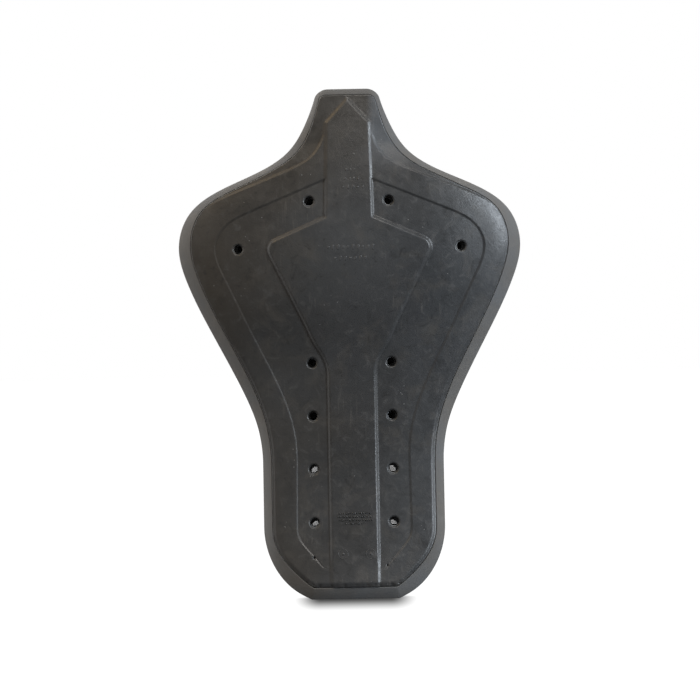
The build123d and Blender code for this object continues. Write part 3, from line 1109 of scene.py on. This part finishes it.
def foam_look():
    """Slow-recovery foam: cut cells of several sizes."""
    look = Look("absorber_foam", 0.85, 0.25)
    cells = look.cells(620)
    tone = look.mixed(look.between(cells, 0.05, 0.45), grey(0.07), grey(0.17, COOL))
    tone = look.mixed(look.between(look.noise(60, 4), 0.35, 0.7, 0, 0.4), tone, grey(0.12, WARM))
    look.put("Base Color", tone)
    look.put("Roughness", look.between(look.noise(300, 2), 0.3, 0.7, 0.78, 0.95))
    coarse = look.bump(cells, 0.0003, 0.7)
    look.put("Normal", look.bump(look.cells(1700), 0.0001, 0.6, coarse))
    return look.material


def liner_look():
    """Knitted spacer mesh: round openings in rows, with yarn between them."""
    look = Look("liner_mesh", 0.9, 0.2)
    net = look.stretched((430, 0, 430 * HEX_ROW))
    holes = look.cells(1.0, place=net, randomness=0.12)
    open_share = look.between(holes, 0.30, 0.42)
    yarn = look.noise(1.0, 2, 0.5, place=look.stretched((5200, 5200, 900)))
    lit = look.mixed(look.between(yarn, 0.35, 0.65), grey(0.036, COOL), grey(0.075, COOL))
    tone = look.mixed(open_share, grey(0.008), lit)
    tone = look.mixed(look.between(look.noise(25, 3), 0.4, 0.7, 0, 0.25), tone, grey(0.085, WARM))
    # painted shade darkens the mesh where it is pressed down, and a painted highlight makes its crowns paler
    bend = look.node("ShaderNodeNewGeometry").outputs["Pointiness"]
    tone = look.mixed(look.between(bend, 0.497, 0.47, 0.0, 0.75), tone, grey(0.012))
    tone = look.mixed(look.between(bend, 0.505, 0.53, 0.0, 0.4), tone, grey(0.11, COOL))
    look.put("Base Color", tone)
    look.put("Roughness", look.between(yarn, 0.3, 0.7, 0.8, 0.95))
    look.fix("Sheen Weight", 0.25)
    look.fix("Sheen Roughness", 0.4)
    loops = look.bump(yarn, 0.00012, 0.6)
    look.put("Normal", look.bump(open_share, 0.0007, 0.8, loops))
    return look.material


def floor_look():
    """Glows white, but for a painted contact shadow around the foot, where its glow fades to dark."""
    look = Look("studio_floor", 0.9, 0.0)
    mottle = look.noise(3, 2)
    look.put("Base Color", look.mixed(mottle, grey(0.020), grey(0.024)))
    sides = look.node("ShaderNodeSeparateXYZ", {0: look.place})
    ahead = look.calc("MULTIPLY", sides.outputs["Y"], -1 / SHADOW_AHEAD)
    behind = look.calc("MULTIPLY", sides.outputs["Y"], 1 / SHADOW_BEHIND)
    across = look.calc("SUBTRACT", look.calc("ABSOLUTE", sides.outputs["X"], 0.0), SHADOW_HALF_WIDTH)
    across = look.calc("MULTIPLY", look.calc("MAXIMUM", across, 0.0), 1 / SHADOW_FADE)
    spot = look.node("ShaderNodeCombineXYZ", {"X": across, "Y": look.calc("MAXIMUM", ahead, behind)})
    away = look.length(spot.outputs[0])
    fade = look.between(away, 0.05, 1.0, 0.05, 1.05, interpolation_type="SMOOTHSTEP")
    look.fix("Emission Color", grey(1.0))
    look.put("Emission Strength", fade)
    return look.material


# ======== studio

CAMERA_DISTANCE = 4.635
LENS = 270.0
SENSOR = 36.0
AIM_RIGHT = -0.00124
AIM_DOWN = 0.0060
CAMERA_ROLL = math.radians(-1.05)
SHADOW_AHEAD = 0.26         # reach of the floor's painted shadow, in metres
SHADOW_BEHIND = 0.06
SHADOW_HALF_WIDTH = 0.030
SHADOW_FADE = 0.028
FLOOR_REACH = 40.0
LAMPS = [                   # name, place, size, power in watts and colour
    ("key_light", (1.55, -1.05, 0.74), (0.42, 0.75), 32.0, (0.84, 0.92, 1.0)),
    ("high_light", (0.30, -1.35, 1.80), (1.1, 0.6), 20.0, (1.0, 0.95, 0.89)),
    ("warm_light", (-1.15, -0.97, 1.60), (0.5, 0.5), 7.0, (1.0, 0.72, 0.40)),
    ("back_light", (-0.60, 1.20, 1.15), (0.9, 0.9), 9.0, (1.0, 0.97, 0.92)),
]
WORLD_STRENGTH = (-0.40, 0.3, 0.25, 3.0)    # by the direction's Y: from, to, strengths there
WORLD_SHARES = [            # the strength is multiplied by these, each by one axis of the direction
    ("Z", -0.6, 0.1, 0.22, 1.0),
    ("Z", 0.3, 0.9, 1.0, 0.3),
    ("X", -0.7, 0.2, 1.50, 0.93),
    ("Y", 0.35, 0.85, 1.0, 0.25),
]


def studio(middle):
    data = bpy.data.cameras.new("camera")
    data.lens = LENS
    data.sensor_width = SENSOR
    data.clip_start = 0.05
    camera = placed("camera", data)
    camera.rotation_euler = (Euler((math.radians(90), 0, 0)).to_matrix()
                             @ Matrix.Rotation(CAMERA_ROLL, 3, "Z")).to_euler()
    camera.location = (middle.x + AIM_RIGHT, middle.y - CAMERA_DISTANCE, middle.z - AIM_DOWN)
    bpy.context.scene.camera = camera

    mesh = bpy.data.meshes.new("studio_floor")
    corners = [(-1, -1), (1, -1), (1, 1), (-1, 1)]
    mesh.from_pydata([(x * FLOOR_REACH, y * FLOOR_REACH, 0) for x, y in corners], [], [(0, 1, 2, 3)])
    mesh.materials.append(floor_look())
    floor = placed("studio_floor", mesh)
    floor.visible_diffuse = False
    floor.visible_glossy = False

    for name, place, size, power, colour in LAMPS:
        lamp(name, place, size, power, colour, middle)


def lamp(name, place, size, power, colour, target):
    data = bpy.data.lights.new(name, "AREA")
    data.shape = "RECTANGLE"
    data.size, data.size_y = size
    data.energy = power
    data.color = colour
    made = placed(name, data)
    made.location = place
    made.rotation_euler = (target - Vector(place)).to_track_quat("-Z", "Y").to_euler()


def surroundings():
    """White to the camera. As light it is brightest at a slant from behind, and dim below and in front."""
    world = bpy.data.worlds.new("surroundings")
    world.use_nodes = True
    tree = world.node_tree
    tree.nodes.clear()
    way = add_node(tree, "ShaderNodeTexCoord").outputs["Generated"]
    parts = add_node(tree, "ShaderNodeSeparateXYZ", {0: way})
    strength = mapped(tree, parts.outputs["Y"], *WORLD_STRENGTH)
    for axis, *limits in WORLD_SHARES:
        share = mapped(tree, parts.outputs[axis], *limits)
        strength = add_node(tree, "ShaderNodeMath", {0: strength, 1: share}, operation="MULTIPLY").outputs[0]
    light = add_node(tree, "ShaderNodeBackground", {"Strength": strength})
    seen = add_node(tree, "ShaderNodeBackground", {"Color": (1, 1, 1, 1), "Strength": 1.0})
    path = add_node(tree, "ShaderNodeLightPath")
    mix = add_node(tree, "ShaderNodeMixShader",
                   {0: path.outputs["Is Camera Ray"], 1: light.outputs[0], 2: seen.outputs[0]})
    add_node(tree, "ShaderNodeOutputWorld", {"Surface": mix.outputs[0]})
    bpy.context.scene.world = world


# ======== assembly

def fitted(piece, node):
    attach(piece, "root")
    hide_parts(node)
    return piece


MIDDLE = (CAD_LOW + CAD_HIGH) / 2
studio(MIDDLE)
surroundings()
bpy.context.scene.view_settings.view_transform = "Standard"

skin_look = shell_look("shell_skin", 1.1)
fitted(shell_piece(skin_look), "outer_shell")
for mark in (
    # the foot marks get a darker copy of the skin: painted shade, with dirt
    marks_piece("foot_mould_marks", FOOT_ROWS, FOOT_CREST, [], shell_look("mark_skin", 0.5)),
    marks_piece("upper_mould_marks", UPPER_ROWS, UPPER_CREST, MARK_RINGS, skin_look),
):
    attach(mark, "root")
pad = fitted(pad_piece(pad_look()), "base_pad")

foam = foam_look()
spine_plan, wing_plan = spine_block_outlines()
left_plan = wing_plan[::-1] * MIRROR
for block_name, block_plan in (("spine", spine_plan), ("right_wing", wing_plan), ("left_wing", left_plan)):
    block = block_piece(block_name + "_absorber_foam", block_plan, foam)
    fitted(block, block_name + "_absorber")

liner = fitted(liner_piece(liner_look()), "body_liner")
